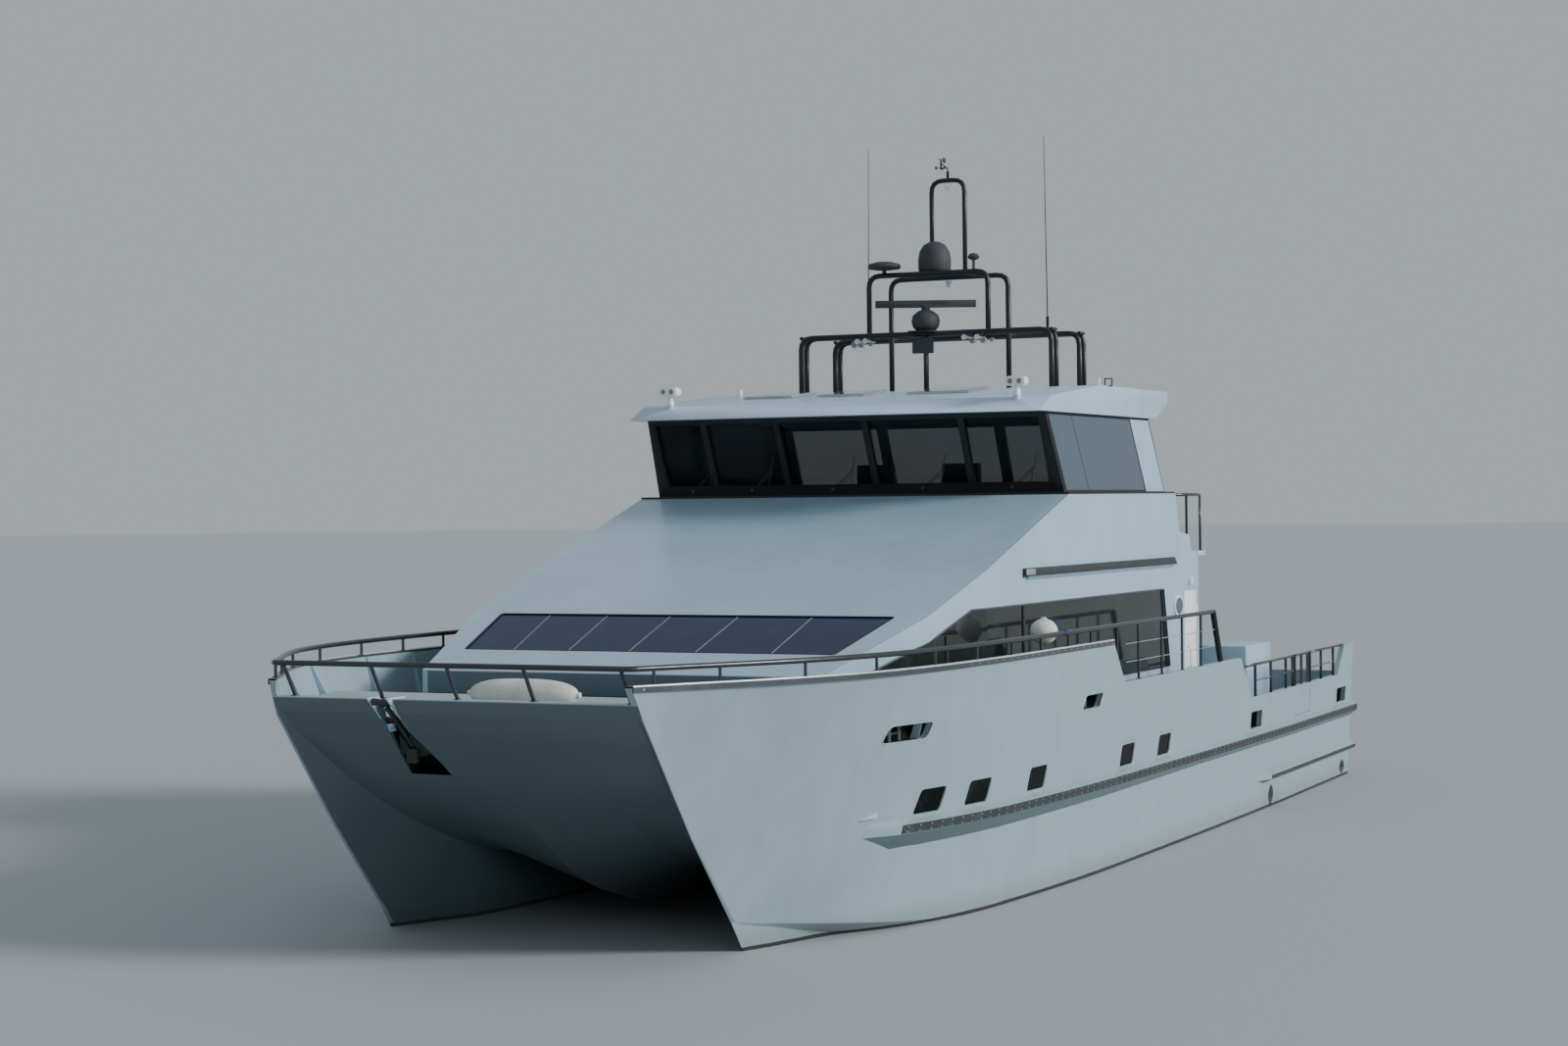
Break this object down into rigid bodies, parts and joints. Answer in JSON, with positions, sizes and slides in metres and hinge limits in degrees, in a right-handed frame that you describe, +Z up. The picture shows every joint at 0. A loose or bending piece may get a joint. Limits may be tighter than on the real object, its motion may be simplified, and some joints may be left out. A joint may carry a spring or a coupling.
{
  "type": "power catamaran",
  "caption": "Aluminium power catamaran with raised wheelhouse under a flat roof, tubular mast with radar and dome, deck rails, rub rails, shafts, propellers and rudders.",
  "frame": {"origin": "on the centreline, amidships between stem head and transom, at the waterline", "axes": "+Y aft (the bow points to -Y), +X to port, +Z up"},
  "size_m": [7.7702, 21.854, 11.13],
  "materials": {
    "hull_paint": "satin grey-green topside paint",
    "light_paint": "satin light grey-blue paint",
    "dark_metal": "gloss dark grey powder coat",
    "glass": "tinted glass",
    "steel": "brushed steel",
    "bronze": "cast bronze",
    "white_plastic": "white gelcoat",
    "black_plastic": "black moulded plastic",
    "fabric": "white fender cover",
    "engine": "grey engine enamel"
  },
  "bodies": {
    "boat": {"hull_port": "hull_paint", "hull_starboard": "hull_paint", "bridge_deck": "hull_paint", "bulwark_port": "hull_paint", "bulwark_starboard": "hull_paint", "rub_rail_port": "hull_paint", "rub_rail_starboard": "hull_paint", "cabin_side_port": "hull_paint", "cabin_side_starboard": "hull_paint", "cabin_window_port": "glass", "cabin_window_starboard": "glass", "cabin_front": "hull_paint", "cabin_front_window": "glass", "upper_deck": "light_paint", "cabin_aft_wall": "hull_paint", "wheelhouse_frame": "dark_metal", "windshield": "glass", "wheelhouse_window_port": "glass", "wheelhouse_window_starboard": "glass", "wheelhouse_window_aft": "glass", "wheelhouse_roof": "light_paint", "mast_front": "dark_metal", "mast_aft": "dark_metal", "satellite_dome": "black_plastic", "radar_pedestal": "black_plastic", "deck_rail": "dark_metal", "aft_rail_port": "dark_metal", "aft_rail_quarter": "dark_metal", "aft_rail_starboard": "dark_metal", "upper_rail": "dark_metal", "anchor": "steel", "shaft_port": "steel", "shaft_starboard": "steel", "engine_port": "engine", "engine_starboard": "engine", "helm_station": "black_plastic", "aft_cabinet": "light_paint", "foredeck_fender": "fabric", "rail_fender": "fabric"},
    "propeller_port": {"propeller_port": "bronze"},
    "propeller_starboard": {"propeller_starboard": "bronze"},
    "rudder_port": {"rudder_port": "bronze"},
    "rudder_starboard": {"rudder_starboard": "bronze"},
    "radar_scanner": {"radar_scanner": "black_plastic"},
    "wind_cups": {"wind_cups": "black_plastic"},
    "wind_vane": {"wind_vane": "black_plastic"},
    "searchlight_port": {"searchlight_port": "white_plastic"},
    "searchlight_starboard": {"searchlight_starboard": "white_plastic"},
    "side_door_port": {"side_door_port": "white_plastic"},
    "side_door_starboard": {"side_door_starboard": "white_plastic"},
    "aft_door": {"aft_door": "glass"},
    "wheelhouse_door": {"wheelhouse_door": "glass"},
    "boarding_gate": {"boarding_gate": "hull_paint"},
    "engine_hatch_port": {"engine_hatch_port": "light_paint"},
    "engine_hatch_starboard": {"engine_hatch_starboard": "light_paint"}
  },
  "joints": [
    {"name": "propeller_port_spin", "type": "hinge", "parent": "boat", "child": "propeller_port", "pos_m": [2.6, 9.025, -0.98], "axis": [0, 0.9945, -0.1045], "continuous": true},
    {"name": "rudder_port_turn", "type": "hinge", "parent": "boat", "child": "rudder_port", "pos_m": [2.6, 10.025, -0.8], "axis": [0, 0, 1], "range_deg": [-35, 35]},
    {"name": "searchlight_port_pan", "type": "hinge", "parent": "boat", "child": "searchlight_port", "pos_m": [2.5, -1.425, 6], "axis": [0, 0, 1], "range_deg": [-170, 170]},
    {"name": "side_door_port_swing", "type": "hinge", "parent": "boat", "child": "side_door_port", "pos_m": [3.113, 4.215, 2.3], "axis": [0, 0, 1], "range_deg": [0, 90]},
    {"name": "engine_hatch_port_lift", "type": "hinge", "parent": "boat", "child": "engine_hatch_port", "pos_m": [3.31, 5.875, 1.2003], "axis": [0, 1, 0], "range_deg": [0, 80]},
    {"name": "propeller_starboard_spin", "type": "hinge", "parent": "boat", "child": "propeller_starboard", "pos_m": [-2.6, 9.025, -0.98], "axis": [0, 0.9945, -0.1045], "continuous": true},
    {"name": "rudder_starboard_turn", "type": "hinge", "parent": "boat", "child": "rudder_starboard", "pos_m": [-2.6, 10.025, -0.8], "axis": [0, 0, 1], "range_deg": [-35, 35]},
    {"name": "searchlight_starboard_pan", "type": "hinge", "parent": "boat", "child": "searchlight_starboard", "pos_m": [-2.5, -1.425, 6], "axis": [0, 0, 1], "range_deg": [-170, 170]},
    {"name": "side_door_starboard_swing", "type": "hinge", "parent": "boat", "child": "side_door_starboard", "pos_m": [-3.113, 4.215, 2.3], "axis": [0, 0, -1], "range_deg": [0, 90]},
    {"name": "engine_hatch_starboard_lift", "type": "hinge", "parent": "boat", "child": "engine_hatch_starboard", "pos_m": [-3.31, 5.875, 1.2003], "axis": [0, -1, 0], "range_deg": [0, 80]},
    {"name": "radar_spin", "type": "hinge", "parent": "boat", "child": "radar_scanner", "pos_m": [0, 1.575, 7.4], "axis": [0, 0, 1], "continuous": true},
    {"name": "wind_cups_spin", "type": "hinge", "parent": "boat", "child": "wind_cups", "pos_m": [0, 2.205, 9.4], "axis": [0, 0, 1], "continuous": true},
    {"name": "wind_vane_turn", "type": "hinge", "parent": "boat", "child": "wind_vane", "pos_m": [0, 2.205, 9.51], "axis": [0, 0, 1], "continuous": true},
    {"name": "aft_door_slide", "type": "slide", "parent": "boat", "child": "aft_door", "axis": [-1, 0, 0], "range_m": [0, 0.85]},
    {"name": "wheelhouse_door_slide", "type": "slide", "parent": "boat", "child": "wheelhouse_door", "axis": [1, 0, 0], "range_m": [0, 0.8]},
    {"name": "boarding_gate_swing", "type": "hinge", "parent": "boat", "child": "boarding_gate", "pos_m": [3.66, 7.077, 1.5], "axis": [0, 0, 1], "range_deg": [0, 95]}
  ]
}
